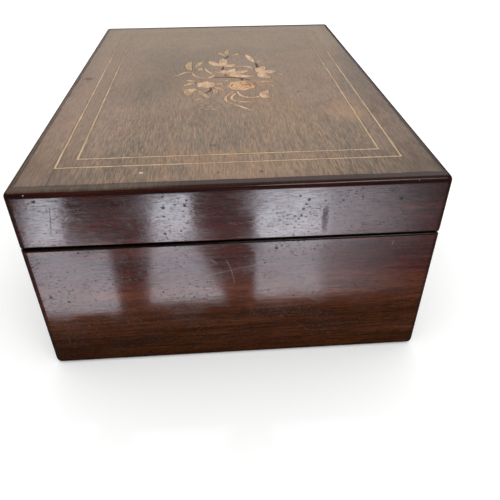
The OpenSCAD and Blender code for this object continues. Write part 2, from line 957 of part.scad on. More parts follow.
leaves = [
  [[5, 54], [3.5, 60], [6.5, 70], 3.6],
  [[3.5, 53], [-1, 56], [-2.5, 65], 3.2],
  [[8, 53], [12.5, 53.5], [14, 61], 3.2],
  [[-21, 17], [-27, 28], [-21.5, 41], 5],
  [[-19, 24], [-17.5, 33], [-12, 40.5], 3.6],
  [[-18.4, 17], [-15, 18], [-13.8, 26], 3.4],
  [[-18.4, -8], [-20.5, -3.8], [-25.2, -4.4], 2.8],
  [[-18.8, -10.4], [-22.4, -9.4], [-26.4, -15.8], 3],
  [[-6.4, -19], [-4, -19.6], [0.4, -26.8], 3.6],
  [[-5.8, -22.4], [-6, -27], [-5, -32.6], 3.6],
  [[-17.2, -21.6], [-26.5, -23.6], [-20.6, -33.6], 6.4],
  [[-16.2, -23.4], [-14.8, -32], [-9, -39], 3.4],
  [[-13.4, -36.4], [-14, -41], [-19.6, -40.6], 2.8],
  [[20.6, -14.5], [24, -8], [34, -10.8], 3.6],
  [[21.2, -18], [27, -14], [33, -20], 3.6],
  [[26, 33], [27, 37], [32.6, 38.6], 2.8],
  [[-0.6, 8], [-4, 11], [-5.4, 17], 2.6],
  [[36.4, 7.4], [38.6, 6], [41, 1.4], 1.9],
  [[-0.2, -8.2], [1.2, -5.6], [5.4, -4.2], 2.2]
];

// Lilies and buds: where the petals spring from, their tips and their width
lilies = [
  [[1, 25.5], [[-9.5, 39.5], [1.2, 46], [10, 30.5]], 6.6],
  [[23.8, 33], [[18.4, 56]], 4.4],
  [[24.6, 8.6], [[30.5, 24], [37.6, 12], [32.4, -3.4]], 7.4],
  [[2.6, 6.2], [[1.2, 18], [9.4, 19.4], [18.4, 15.6], [22, 2.6]], 6.2],
  [[21.8, -38.4], [[28.4, -27.4], [28, -38.6]], 5.4]
];

// Flowers: centre, outer radius, radius of the eye and number of petals
flowers = [
  [[-11.6, -13.6], 6.3, 1.8, 6],
  [[-3.1, -12.6], 2.4, 0.8, 5],
  [[-9.3, -52.5], 7.6, 2.6, 8],
  [[-31.4, 7.4], 1.6, 0.6, 5]
];
rose_centre = [11, -17];
rose_rings = [[9.4, 6.4, 7], [6.1, 3.6, 5], [3.3, 1.4, 4]];
rose_eye_r = 1.1;

// Petals spring side by side, each bowed away from the middle one
function petal_curve(lily, k) =
  let (
    foot = lily[0],
    tip = lily[1][k],
    lean = k - (len(lily[1]) - 1) / 2,
    d = tip - foot
  )
  [foot, foot + d / 2 + lean * [d[1], -d[0]] / 8, tip];

module lily_pocket(lily) {
  for (k = [0:len(lily[1]) - 1]) leaf_shape(petal_curve(lily, k), lily[2], kerf);
}

// Each petal is cut back by the ones after it
module lily_pieces(lily) {
  last = len(lily[1]) - 1;
  for (k = [0:last])
    difference() {
      leaf_shape(petal_curve(lily, k), lily[2], 0);
      for (j = [k + 1:1:last]) leaf_shape(petal_curve(lily, j), lily[2], kerf);
    }
}

// Radius of a flower's edge at an angle, with a notch between two petals
function lobe(r, petals, a) = r * (0.84 + 0.16 * abs(sin(petals * a / 2)));

module flower_pocket(r, petals, grow) {
  steps = 6 * petals;
  polygon([
    for (i = [0:steps - 1])
      let (a = 360 * i / steps)
        (lobe(r, petals, a) + grow) * [cos(a), sin(a)]
  ]);
}

// A ring of petals between two radii, with a saw cut between each two
module petal_ring(r_out, r_in, petals) {
  span = 360 / petals;
  steps = 6;
  cut = kerf / 2 / r_out * 180 / PI;
  cut_in = kerf / 2 / r_in * 180 / PI;
  for (k = [0:petals - 1])
    polygon(concat(
      [for (i = [0:steps])
        let (a = k * span + cut + (span - 2 * cut) * i / steps)
          lobe(r_out, petals, a) * [cos(a), sin(a)]],
      [for (i = [steps:-2:0])
        let (a = k * span + cut_in + (span - 2 * cut_in) * i / steps)
          r_in * [cos(a), sin(a)]]
    ));
}

module rose_pieces() {
  translate(rose_centre) {
    for (i = [0:len(rose_rings) - 1])
      rotate(20 * i) petal_ring(rose_rings[i][0], rose_rings[i][1], rose_rings[i][2]);
    circle(rose_eye_r);
  }
}

module rose_pocket() {
  translate(rose_centre) flower_pocket(rose_rings[0][0], rose_rings[0][2], kerf);
}

module flower_pieces() {
  for (f = flowers)
    translate(f[0]) {
      petal_ring(f[1], f[2] + kerf, f[3]);
      circle(f[2]);
    }
}

module flower_pockets() {
  for (f = flowers) translate(f[0]) flower_pocket(f[1], f[3], kerf);
}

module lily_pockets() {
  for (lily = lilies) lily_pocket(lily);
}

module leaf_pockets() {
  for (l = leaves) leaf_shape([l[0], l[1], l[2]], l[3], kerf);
}

module ribbon_shapes(grow) {
  for (s = ribbons) strip_shape([s[0], s[1], s[2]], s[3], grow);
}

module stem_shapes(grow) {
  for (s = stems) strip_shape([s[0], s[1], s[2]], s[3], grow);
}

// Turns the drawing of the bouquet into its place on the lid
module as_laid() {
  in_top() rotate(90) children();
}

module marquetry_rose() color(boxwood) as_laid() rose_pieces();

module marquetry_flowers() color(boxwood) as_laid() flower_pieces();

module marquetry_lilies() color(boxwood)
  as_laid()
    difference() {
      for (lily = lilies) lily_pieces(lily);
      rose_pocket();
      flower_pockets();
    }

module marquetry_leaves() color(boxwood)
  as_laid()
    difference() {
      for (l = leaves) split_leaf([l[0], l[1], l[2]], l[3]);
      rose_pocket();
      flower_pockets();
      lily_pockets();
    }

module marquetry_ribbons() color(boxwood)
  as_laid()
    difference() {
      ribbon_shapes(0);
      rose_pocket();
      flower_pockets();
      lily_pockets();
      leaf_pockets();
    }

module marquetry_stems() color(rosewood)
  as_laid()
    difference() {
      stem_shapes(0);
      rose_pocket();
      flower_pockets();
      lily_pockets();
      leaf_pockets();
      ribbon_shapes(kerf);
    }

module top_field_veneer() color(faded_rosewood)
  difference() {
    in_top()
      square(2 * [inner_string_x - half_line, inner_string_y - half_line], center = true);
    translate([0, 0, veneer_z - over])
      linear_extrude(veneer_t + 2 * over)
        rotate(90) {
          rose_pocket();
          flower_pockets();
          lily_pockets();
          leaf_pockets();
          ribbon_shapes(kerf);
          stem_shapes(kerf);
        }
  }

// ---------- what is drawn ----------

base_front_board();
base_back_board();
base_end_board(1);  // base_left_board
base_end_board(0);  // base_right_board
bottom_board();
bottom_nails();
base_side_veneer(0);  // base_front_veneer
base_side_veneer(1);  // base_back_veneer
base_end_veneer(1);  // base_left_veneer
base_end_veneer(0);  // base_right_veneer
base_rim_facings();
floor_lining();
base_wall_linings();
translate([-hinge_x, 0, 0]) leaf(-1);  // hinge_left_lower_leaf
translate([hinge_x, 0, 0]) leaf(-1);  // hinge_right_lower_leaf
translate([-hinge_x, 0, 0]) hinge_pin();  // hinge_left_pin
translate([hinge_x, 0, 0]) hinge_pin();  // hinge_right_pin
hinge_screws(-1);  // hinge_lower_screws
lock_case();
lock_cap();
lock_selvedge();
lock_key_pin();
lock_spring();
lock_screws();
lock_bolt();
keyhole_escutcheon();
lid_side_board(0);  // lid_front_board
lid_side_board(1);  // lid_back_board
lid_end_board(1);  // lid_left_board
lid_end_board(0);  // lid_right_board
lid_top_board();
lid_side_veneer(0);  // lid_front_veneer
lid_side_veneer(1);  // lid_back_veneer
lid_end_veneer(1);  // lid_left_veneer
lid_end_veneer(0);  // lid_right_veneer
lid_rim_facings();
edging_side(0);  // edging_front
edging_side(1);  // edging_back
edging_end(1);  // edging_left
edging_end(0);  // edging_right
outer_border_sides();
outer_border_ends();
inner_border();
outer_string();
inner_string();
top_field_veneer();
marquetry_stems();
marquetry_ribbons();
marquetry_leaves();
marquetry_lilies();
marquetry_flowers();
marquetry_rose();
lid_lining_panel();
lid_wall_linings();
translate([-hinge_x, 0, 0]) leaf(1);  // hinge_left_upper_leaf
translate([hinge_x, 0, 0]) leaf(1);  // hinge_right_upper_leaf
hinge_screws(1);  // hinge_upper_screws
link_plate();
link_screws();
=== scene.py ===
"""Looks of the inlaid wooden box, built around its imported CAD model."""
import math

import bpy
from mathutils import Matrix, Vector, noise


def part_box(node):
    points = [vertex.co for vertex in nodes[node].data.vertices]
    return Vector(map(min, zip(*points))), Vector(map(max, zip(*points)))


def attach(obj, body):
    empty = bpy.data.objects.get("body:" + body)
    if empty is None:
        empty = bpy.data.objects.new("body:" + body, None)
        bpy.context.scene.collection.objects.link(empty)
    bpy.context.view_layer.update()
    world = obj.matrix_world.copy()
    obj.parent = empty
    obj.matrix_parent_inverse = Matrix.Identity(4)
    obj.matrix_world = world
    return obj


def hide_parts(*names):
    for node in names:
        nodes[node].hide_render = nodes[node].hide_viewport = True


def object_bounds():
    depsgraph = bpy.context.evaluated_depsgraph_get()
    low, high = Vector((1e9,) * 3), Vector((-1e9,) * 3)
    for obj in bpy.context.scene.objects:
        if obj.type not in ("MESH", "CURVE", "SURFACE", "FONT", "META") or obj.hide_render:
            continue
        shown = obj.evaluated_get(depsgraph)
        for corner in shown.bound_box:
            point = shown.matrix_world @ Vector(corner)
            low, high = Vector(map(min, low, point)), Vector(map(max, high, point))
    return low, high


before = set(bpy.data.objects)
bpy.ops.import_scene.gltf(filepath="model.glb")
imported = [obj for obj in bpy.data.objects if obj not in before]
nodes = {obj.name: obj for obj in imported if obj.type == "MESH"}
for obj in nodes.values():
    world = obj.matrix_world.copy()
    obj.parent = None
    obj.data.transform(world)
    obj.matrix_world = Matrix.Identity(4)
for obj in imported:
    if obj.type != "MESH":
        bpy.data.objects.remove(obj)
cad_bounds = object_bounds()
low, high = (Vector(corner) for corner in cad_bounds)
MM = 0.001
# Heights and half widths in mm, which is what the shaders work in
TOP = high.z / MM
HALF_LENGTH = high.x / MM
HALF_WIDTH = high.y / MM
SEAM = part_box("base_rim_facings")[1][2] / MM
WALL = HALF_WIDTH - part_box("base_wall_linings")[1][1] / MM


# ---------- camera ----------

# The picture is square. The camera stands off the right end and looks down at the box.
CAMERA_TARGET = Vector((high.x - 0.0295, 0.0092, 0.050))
CAMERA_AZIMUTH = 85.96
CAMERA_ELEVATION = 36.19
CAMERA_ROLL = -0.24
CAMERA_DISTANCE = 0.2808
# Lens and sensor in mm
CAMERA_LENS = 36.6
SENSOR_WIDTH = 36

azimuth, elevation = math.radians(CAMERA_AZIMUTH), math.radians(CAMERA_ELEVATION)
forward = Vector((
    -math.sin(azimuth) * math.cos(elevation),
    math.cos(azimuth) * math.cos(elevation),
    -math.sin(elevation),
))
camera_place = CAMERA_TARGET - forward * CAMERA_DISTANCE


def make_camera():
    """Looks along forward from the camera's place."""
    data = bpy.data.cameras.new("camera")
    data.lens = CAMERA_LENS
    data.sensor_width = SENSOR_WIDTH
    camera = bpy.data.objects.new("camera", data)
    turn = forward.to_track_quat("-Z", "Y").to_matrix()
    roll = Matrix.Rotation(math.radians(CAMERA_ROLL), 3, "Z")
    camera.matrix_world = Matrix.Translation(camera_place) @ (turn @ roll).to_4x4()
    bpy.context.scene.collection.objects.link(camera)
    bpy.context.scene.camera = camera


make_camera()


# ---------- shader building ----------


class Shader:
    """A material's node tree, with short calls for the nodes used here. Lengths are in mm."""

    def __init__(self, name):
        self.material = bpy.data.materials.new(name)
        self.material.use_nodes = True
        self.tree = self.material.node_tree
        self.surface = self.tree.nodes["Principled BSDF"]
        position = self.tree.nodes.new("ShaderNodeTexCoord").outputs["Object"]
        self.mm = self.vector("MULTIPLY", position, (1 / MM,) * 3)
        parts = self.tree.nodes.new("ShaderNodeSeparateXYZ")
        self.feed(parts.inputs[0], self.mm)
        self.x, self.y, self.z = parts.outputs

    def insets(self):
        """How far in from the long sides and from the ends of the box."""
        return (self.math("SUBTRACT", HALF_WIDTH, self.math("ABSOLUTE", self.y)),
                self.math("SUBTRACT", HALF_LENGTH, self.math("ABSOLUTE", self.x)))

    def feed(self, socket, value):
        """Links a socket, or sets a number or a colour."""
        if isinstance(value, bpy.types.NodeSocket):
            self.tree.links.new(value, socket)
        elif socket.type == "RGBA" and len(value) == 3:
            socket.default_value = (*value, 1)
        else:
            socket.default_value = value

    def math(self, operation, a, b=0.0, clamp=False):
        made = self.tree.nodes.new("ShaderNodeMath")
        made.operation = operation
        made.use_clamp = clamp
        self.feed(made.inputs[0], a)
        self.feed(made.inputs[1], b)
        return made.outputs[0]

    def vector(self, operation, a, b):
        made = self.tree.nodes.new("ShaderNodeVectorMath")
        made.operation = operation
        self.feed(made.inputs[0], a)
        self.feed(made.inputs[1], b)
        return made.outputs[0]

    def noise(self, size, detail=3.0, rough=0.5, place=None, offset=0.0):
        """Noise from 0 to 1 about 0.5. Size is that of its spots along each axis."""
        scaled = self.vector("MULTIPLY", self.mm if place is None else place,
                             tuple(1 / s for s in size))
        if offset:
            scaled = self.vector("ADD", scaled, (offset, offset / 2, offset / 3))
        made = self.tree.nodes.new("ShaderNodeTexNoise")
        self.feed(made.inputs["Vector"], scaled)
        self.feed(made.inputs["Scale"], 1.0)
        self.feed(made.inputs["Detail"], detail)
        self.feed(made.inputs["Roughness"], rough)
        return made.outputs["Fac"]

    def range(self, value, a, b, to_a=0.0, to_b=1.0):
        """Maps a to to_a and b to to_b, smoothly, and holds them beyond."""
        made = self.tree.nodes.new("ShaderNodeMapRange")
        made.interpolation_type = "SMOOTHSTEP"
        self.feed(made.inputs["Value"], value)
        for name, number in zip(("From Min", "From Max", "To Min", "To Max"), (a, b, to_a, to_b)):
            self.feed(made.inputs[name], number)
        return made.outputs["Result"]

    def ramp(self, value, stops):
        """A colour from the places and colours of its stops."""
        made = self.tree.nodes.new("ShaderNodeValToRGB")
        self.feed(made.inputs["Fac"], value)
        for i, (place, colour) in enumerate(stops):
            elements = made.color_ramp.elements
            stop = elements[i] if i < 2 else elements.new(place)
            stop.position = place
            stop.color = (*colour, 1)
        return made.outputs["Color"]

    def mix(self, share, a, b, blend="MIX"):
        made = self.tree.nodes.new("ShaderNodeMix")
        made.data_type = "RGBA"
        made.blend_type = blend
        for index, value in ((0, share), (6, a), (7, b)):
            self.feed(made.inputs[index], value)
        return made.outputs[2]

    def scale(self, colour, amount):
        """Multiplies a colour by a number."""
        made = self.tree.nodes.new("ShaderNodeVectorMath")
        made.operation = "SCALE"
        self.feed(made.inputs[0], colour)
        self.feed(made.inputs["Scale"], amount)
        return made.outputs[0]

    def add(self, *values):
        total = values[0]
        for value in values[1:]:
            total = self.math("ADD", total, value)
        return total

    def times(self, *values):
        total = values[0]
        for value in values[1:]:
            total = self.math("MULTIPLY", total, value)
        return total

    def most(self, values):
        total = values[0]
        for value in values[1:]:
            total = self.math("MAXIMUM", total, value)
        return total

    def spot(self, u, v, centre, radii, soft=0.5):
        """An oval in the plane of two coordinates, 1 inside."""
        du = self.math("DIVIDE", self.math("SUBTRACT", u, centre[0]), radii[0])
        dv = self.math("DIVIDE", self.math("SUBTRACT", v, centre[1]), radii[1])
        reach = self.math("SQRT", self.add(self.times(du, du), self.times(dv, dv)))
        return self.range(reach, 1 - soft, 1 + soft, 1.0, 0.0)

    def line(self, u, v, points, half_width):
        """A scratch through points in the plane of two coordinates, 1 inside."""
        found = []
        for (u0, v0), (u1, v1) in zip(points, points[1:]):
            length = math.hypot(u1 - u0, v1 - v0)
            cu, cv = (u1 - u0) / length, (v1 - v0) / length
            du = self.math("SUBTRACT", u, u0)
            dv = self.math("SUBTRACT", v, v0)
            along = self.add(self.times(du, cu), self.times(dv, cv))
            across = self.math("ABSOLUTE", self.add(self.times(du, -cv), self.times(dv, cu)))
            inside = self.times(
                self.range(along, -half_width, half_width),
                self.range(along, length - half_width, length + half_width, 1.0, 0.0),
            )
            found.append(self.times(inside, self.range(across, 0, half_width * 1.6, 1.0, 0.0)))
        return self.most(found)

    def bump(self, height, distance, normal=None):
        """Relief from a height of 0 to 1, for a distance in mm."""
        made = self.tree.nodes.new("ShaderNodeBump")
        self.feed(made.inputs["Height"], height)
        self.feed(made.inputs["Distance"], distance * MM)
        if normal is not None:
            self.feed(made.inputs["Normal"], normal)
        return made.outputs["Normal"]

    def finish(self, colour, roughness, normal=None, **constants):
        self.feed(self.surface.inputs["Base Color"], colour)
        self.feed(self.surface.inputs["Roughness"], roughness)
        if normal is not None:
            self.feed(self.surface.inputs["Normal"], normal)
        for key, value in constants.items():
            self.surface.inputs[key.replace("_", " ")].default_value = value
        return self.material


def grain(along, long, across):
    """Noise sizes for a grain that runs along one axis."""
    return tuple(long if axis == along else across for axis in "xyz")


def dress(material, *names):
    """Gives CAD nodes a material in place of their own."""
    for name in names:
        mesh = nodes[name].data
        mesh.materials.clear()
        mesh.materials.append(material)


# ---------- polished rosewood of the sides ----------

PORE = (0.008, 0.0035, 0.0025)
# Heights in mm and colours up the lower box: browner low down, redder towards the seam
BASE_TONES = (
    (0, (0.025, 0.0075, 0.0020)),
    (12, (0.036, 0.0100, 0.0024)),
    (32, (0.047, 0.0130, 0.0038)),
    (48, (0.080, 0.0215, 0.0105)),
    (62, (0.042, 0.0085, 0.0062)),
    (77, (0.045, 0.0095, 0.0065)),
)
LID_TONES = (
    (77, (0.042, 0.0090, 0.0065)),
    (88, (0.038, 0.0095, 0.0070)),
    (97, (0.033, 0.0080, 0.0062)),
    (107, (0.028, 0.0055, 0.0036)),
)
# Marks on the end nearest the camera: points in Y and Z, half width, strength
PALE_SCRATCHES = (
    (((-19.6, 55.4), (-9.1, 58.3), (0.8, 60.7), (10.1, 62.4), (19.5, 62.6)), 0.26, 0.16),
    (((-4.5, 66.2), (-2.4, 61.1), (-0.6, 51.5)), 0.18, 0.22),
    (((30.0, 23.9), (36.5, 18.0), (41.8, 11.0)), 0.25, 0.06),
    (((-76.0, 92.6), (-73.5, 94.9)), 0.30, 0.22),
    (((-70.4, 93.2), (-68.8, 92.4)), 0.25, 0.2),
    (((76.6, 71.0), (77.2, 73.6)), 0.22, 0.2),
    (((49.6, 12.9), (51.6, 12.5)), 0.40, 0.10),
    (((22.9, 27.3), (24.6, 27.0)), 0.35, 0.10),
    (((-12.0, 66.5), (-9.0, 64.5)), 0.22, 0.16),
    (((-3.0, 88.0), (1.0, 86.5)), 0.20, 0.14),
)
DARK_LINES = (
    (((-80.8, 99.5), (-83.4, 85.0)), 0.16, 0.35),
    (((-25.3, 72.0), (-22.2, 69.0)), 0.22, 0.6),
)
# Y, Z and radius
DENTS = (
    (-31.8, 97.2, 0.75), (-32.3, 83.2, 0.6), (-22.0, 97.9, 0.6), (-31.9, 92.5, 0.45),
    (-21.0, 100.6, 0.45), (30.0, 100.6, 0.5), (31.8, 93.7, 0.6), (34.2, 98.4, 0.7),
    (31.1, 90.0, 0.55), (33.0, 96.0, 0.5), (-87.1, 103.0, 0.8), (-73.5, 74.4, 0.5),
    (20.0, 72.0, 0.6), (22.5, 73.4, 0.5), (-92.0, 48.0, 0.9), (-84.0, 44.5, 0.7),
    (59.0, 98.8, 0.5), (50.0, 97.5, 0.5), (77.0, 97.0, 0.7), (83.0, 71.5, 0.8),
)


def rosewood(name, along, tones, marked=False):
    """Dark polished veneer: bands, streaks and short open pores, with a worn gloss."""
    s = Shader(name)
    bands = s.noise(grain(along, 150, 8), detail=3)
    streaks = s.noise(grain(along, 38, 1.5), detail=4, rough=0.6)
    fibres = s.noise(grain(along, 5, 0.55), detail=3, rough=0.65)
    first, last = tones[0][0], tones[-1][0]
    height = s.add(s.z, s.times(s.math("SUBTRACT", bands, 0.5), 26))
    share = s.math("DIVIDE", s.math("SUBTRACT", height, first), last - first, clamp=True)
    colour = s.ramp(share, [((z - first) / (last - first), tone) for z, tone in tones])
    bright = s.times(
        s.range(streaks, 0.3, 0.72, 0.62, 1.42),
        s.range(fibres, 0.32, 0.68, 0.60, 1.42),
        s.range(bands, 0.3, 0.7, 0.85, 1.16),
    )
    colour = s.scale(colour, bright)
    glow = s.range(s.noise(grain(along, 55, 5), offset=7.3), 0.56, 0.75)
    colour = s.mix(s.times(glow, 0.5), colour, s.scale(colour, 1.9))

    crowd = s.noise(grain(along, 26, 11), detail=2, offset=3.1)
    pores = s.noise(grain(along, 1.7, 0.42), detail=1.5, rough=0.4)
    limit = s.range(crowd, 0.35, 0.65, 0.70, 0.635)
    pore = s.math("MULTIPLY", s.math("SUBTRACT", pores, limit), 18, clamp=True)
    pits = s.noise(grain(along, 1.7, 0.9), detail=1, offset=5.7)
    pit = s.times(s.range(pits, 0.74, 0.78), s.range(crowd, 0.5, 0.62))
    hole = s.math("MAXIMUM", pore, pit)

    smear = s.noise((16, 16, 12), detail=4, rough=0.6, offset=1.9)
    roughness = s.range(smear, 0.35, 0.7, 0.085, 0.19)
    roughness = s.add(roughness, s.range(streaks, 0.5, 0.75, 0.0, 0.05),
                      s.range(fibres, 0.50, 0.40, 0.0, 0.09))
    skin = s.noise(grain(along, 3.2, 1.6), detail=3, rough=0.62, offset=2.3)
    relief = s.add(s.times(skin, 0.028), s.times(streaks, 0.010), s.times(hole, -0.030))

    if marked:
        near_end = s.range(s.x, HALF_LENGTH - 2, HALF_LENGTH - 1)
        pale = s.times(s.most([
            s.times(s.line(s.y, s.z, points, half), strength)
            for points, half, strength in PALE_SCRATCHES
        ]), near_end)
        dark = s.times(s.most([
            s.times(s.line(s.y, s.z, points, half), strength)
            for points, half, strength in DARK_LINES
        ]), near_end)
        ragged = s.noise((0.8, 0.8, 0.6), detail=2)
        dents = s.most([s.spot(s.y, s.z, (y, z), (r, r), 0.45) for y, z, r in DENTS])
        dent = s.times(dents, near_end, s.range(ragged, 0.3, 0.55, 0.35, 1.0))
        stain = s.times(s.spot(s.y, s.z, (42.3, 87.5), (1.5, 7.0), 0.4), near_end,
                        s.range(ragged, 0.3, 0.6, 0.2, 0.8))
        colour = s.mix(pale, colour, (0.42, 0.33, 0.28))
        colour = s.mix(s.most([dark, s.times(dent, 0.7)]), colour, PORE)
        roughness = s.add(roughness, s.times(s.most([pale, dark, dent, stain]), 0.45))
        relief = s.add(relief, s.times(s.most([pale, dark, dent]), -0.03))

    # The arrises at the seam are rubbed through to browner wood, and between them the gap of the seam
    # is darkened with painted shade
    seam = s.times(s.range(s.z, SEAM - 1.8, SEAM - 0.3), s.range(s.z, SEAM, SEAM + 1.6, 1.0, 0.0))
    rubbed = s.times(seam, s.range(s.noise(grain(along, 22, 6), offset=8.8), 0.42, 0.6, 0.1, 0.8))
    colour = s.mix(rubbed, colour, (0.050, 0.030, 0.016))
    # Painted shade: the colour falls to 0.15 of itself in the gap between lid and base
    seam_shade = s.times(s.range(s.z, SEAM - 1.0, SEAM - 0.4),
                   s.range(s.z, SEAM + 1.2, SEAM + 1.9, 1.0, 0.0))
    colour = s.scale(colour, s.range(seam_shade, 0.0, 1.0, 1.0, 0.15))
    # Darker towards the foot and along the upright arrises
    colour = s.scale(colour, s.range(s.z, 0.5, 4.0, 0.45, 1.0))
    from_arris = s.math("MAXIMUM", *s.insets())
    arris = s.times(s.range(from_arris, 0.8, 3.6, 0.85, 0.0), s.range(smear, 0.3, 0.6, 0.7, 1.0))
    colour = s.mix(arris, colour, (0.016, 0.0085, 0.0058))
    roughness = s.add(roughness, s.times(arris, 0.16))
    roughness = s.add(roughness, s.times(rubbed, 0.2))
    colour = s.mix(s.times(hole, 0.85), colour, PORE)
    roughness = s.add(roughness, s.times(hole, 0.5))
    return s.finish(colour, roughness, s.bump(relief, 1.0), IOR=1.5)


dress(rosewood("rosewood_base_end", "y", BASE_TONES, True), "base_right_veneer", "base_left_veneer")
dress(rosewood("rosewood_lid_end", "y", LID_TONES, True), "lid_right_veneer", "lid_left_veneer")
dress(rosewood("rosewood_base_side", "x", BASE_TONES), "base_front_veneer", "base_back_veneer")
dress(rosewood("rosewood_lid_side", "x", LID_TONES), "lid_front_veneer", "lid_back_veneer")


# ---------- faded rosewood of the top ----------

TAUPE = (0.270, 0.182, 0.128)
TAN = (0.400, 0.238, 0.130)
OLIVE = (0.165, 0.132, 0.098)
PINK = (0.310, 0.198, 0.146)
# Painted sheen, mixed into the top towards its far end
PAINTED_SHEEN = (0.345, 0.262, 0.196)
DIRT = (0.060, 0.043, 0.033)
# Soft clouds on the top: X, Y, radii along X and Y, colour, strength
CLOUDS = (
    (27, -50, 26, 20, OLIVE, 1.0), (66, 70, 14, 9, TAN, 0.75), (74, 27, 24, 22, TAN, 0.5),
    (88, -20, 26, 50, OLIVE, 0.50), (128, 8, 16, 50, TAN, 0.35), (60, 92, 110, 13, DIRT, 0.40),
    (142, 80, 24, 34, DIRT, 0.50), (140, -84, 24, 34, DIRT, 0.36), (104, 62, 26, 18, OLIVE, 0.75),
    (-10, 30, 34, 30, PINK, 0.35), (30, -12, 42, 40, PINK, 0.30), (-25, -35, 34, 26, OLIVE, 0.35),
    (60, -62, 60, 9, PINK, 0.5), (118, -52, 22, 12, OLIVE, 0.5), (20, 5, 40, 38, TAN, 0.25),
    (40, -90, 90, 9, PINK, 0.5), (120, 40, 18, 22, OLIVE, 0.35), (132, -30, 9, 12, OLIVE, 0.5),
)
# Stains on the top: X, Y, radii along X and Y, strength
STAINS = (
    (-4.9, -90.4, 3.0, 3.2, 0.55), (31.8, 46.4, 1.2, 0.8, 0.75), (107.5, -8.3, 1.0, 2.3, 0.45),
    (136.9, -6.3, 1.0, 0.7, 0.7), (137.6, 13.4, 1.3, 0.8, 0.7), (55.0, -74.0, 1.1, 0.8, 0.6),
    (137.0, -44.0, 0.5, 0.5, 0.5), (20.0, -71.5, 0.9, 0.7, 0.4), (138.5, 30.0, 0.6, 0.5, 0.5),
)
EDGING_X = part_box("edging_right")[0][0] / MM
EDGING_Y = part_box("edging_back")[0][1] / MM
STRINGS = tuple(
    (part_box(name)[1][0] / MM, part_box(name)[1][1] / MM) for name in ("outer_string", "inner_string")
)


def faded_colour(s, tint=1.0):
    """Colour of the faded veneer, and its pores: taupe with tan flecks and olive clouds, lightened by
    a painted sheen towards the far end.
    """
    clouds = s.noise((60, 42, 40), detail=3, offset=4.4)
    small_clouds = s.noise((17, 8, 9), detail=3, offset=9.1)
    flecks = s.noise((7.5, 0.62, 3), detail=4, rough=0.62)
    broad = s.noise((38, 4.0, 9), detail=3, rough=0.6, offset=6.6)
    fibres = s.noise((4, 0.5, 2), detail=2)
    colour = s.mix(s.range(clouds, 0.42, 0.66, 0.0, 0.5), TAUPE, OLIVE)
    colour = s.mix(s.range(small_clouds, 0.5, 0.72, 0.0, 0.5), colour, PINK)
    ragged = s.range(small_clouds, 0.3, 0.6, 0.45, 1.0)
    for x, y, rx, ry, tone, strength in CLOUDS:
        cloud = s.times(s.spot(s.x, s.y, (x, y), (rx, ry), 0.6), ragged, strength)
        colour = s.mix(cloud, colour, tone)
    nearness = s.range(s.x, -40, 125, 0.12, 0.9)
    middle = s.range(s.math("ABSOLUTE", s.y), 55, 88, 1.0, 0.38)
    nearness = s.times(nearness, middle)
    colour = s.mix(s.times(s.range(flecks, 0.46, 0.64), nearness, 0.78), colour, TAN)
    colour = s.mix(s.times(s.range(broad, 0.50, 0.70), nearness, 0.5), colour, OLIVE)
    colour = s.scale(colour, s.range(s.x, 90, 140, 1.0, 0.88))
    # Painted sheen: lighter towards the far end, where the top mirrors the bright room at a grazing
    # angle
    painted_sheen = s.range(s.add(s.x, s.times(clouds, 50)), -130, 80, 0.75, 0.0)
    colour = s.mix(painted_sheen, colour, PAINTED_SHEEN)
    bright = s.times(
        s.range(flecks, 0.34, 0.54, s.range(nearness, 0.1, 0.9, 0.93, 0.79), 1.02),
        s.range(fibres, 0.3, 0.7, 0.86, 1.14),
        tint,
    )
    pores = s.noise((2.2, 0.40, 0.6), detail=1.5, rough=0.4, offset=2.2)
    pore = s.math("MULTIPLY", s.math("SUBTRACT", pores, 0.68), 12, clamp=True)
    # Dirt gathers towards the edges of the top, in its joints and along the stringing
    across, along = s.math("ABSOLUTE", s.y), s.math("ABSOLUTE", s.x)
    inset = s.math("MINIMUM", *s.insets())
    grime = s.range(s.add(inset, s.times(clouds, 8)), 3, 19, 0.84, 1.0)
    colour = s.scale(colour, s.times(bright, grime))
    broken = s.range(s.noise((9, 9, 9), detail=3, offset=3.9), 0.35, 0.6, 0.25, 1.0)
    edging = s.math("MAXIMUM", s.math("SUBTRACT", along, EDGING_X),
                    s.math("SUBTRACT", across, EDGING_Y))
    joints = [s.range(s.math("ABSOLUTE", edging), 0.15, 0.55, 0.85, 0.0)]
    for x, y in STRINGS:
        beyond = s.math("MAXIMUM", s.math("SUBTRACT", along, x), s.math("SUBTRACT", across, y))
        centre = s.math("ABSOLUTE", s.math("ADD", beyond, 0.5))
        joints.append(s.times(s.range(centre, 0.5, 0.55), s.range(centre, 0.7, 1.1, 0.6, 0.0)))
    joints.append(s.times(
        s.line(s.x, s.y, ((STRINGS[0][0], -STRINGS[0][1] + 0.5), (EDGING_X, -STRINGS[0][1] + 0.5)),
               0.3), 0.9))
    colour = s.mix(s.times(s.most(joints), broken), colour, (0.040, 0.021, 0.013))
    return s.mix(s.times(pore, 0.4), colour, (0.060, 0.036, 0.022)), pore, flecks


def faded_top(name, tint=1.0):
    s = Shader(name)
    colour, pore, flecks = faded_colour(s, tint)
    ragged = s.noise((1.4, 1.4, 1.4), detail=3)
    marks = s.most([
        s.times(s.spot(s.x, s.y, (x, y), (rx, ry), 0.5), strength)
        for x, y, rx, ry, strength in STAINS
    ])
    marks = s.times(marks, s.range(ragged, 0.25, 0.55, 0.3, 1.0))
    colour = s.mix(marks, colour, (0.028, 0.019, 0.013))
    chip = s.spot(s.x, s.y, (134.7, -41.7), (0.45, 0.95), 0.3)
    colour = s.mix(chip, colour, (0.75, 0.70, 0.62))
    smear = s.noise((40, 30, 20), detail=4, offset=1.2)
    roughness = s.add(s.range(smear, 0.3, 0.7, 0.30, 0.44), s.times(pore, 0.3))
    relief = s.add(s.times(flecks, 0.030), s.times(pore, -0.05))
    return s.finish(colour, roughness, s.bump(relief, 1.0), IOR=1.47)


dress(faded_top("faded_field"), "top_field_veneer", "inner_border")
dress(faded_top("faded_border", 1.03), "outer_border_sides", "outer_border_ends")


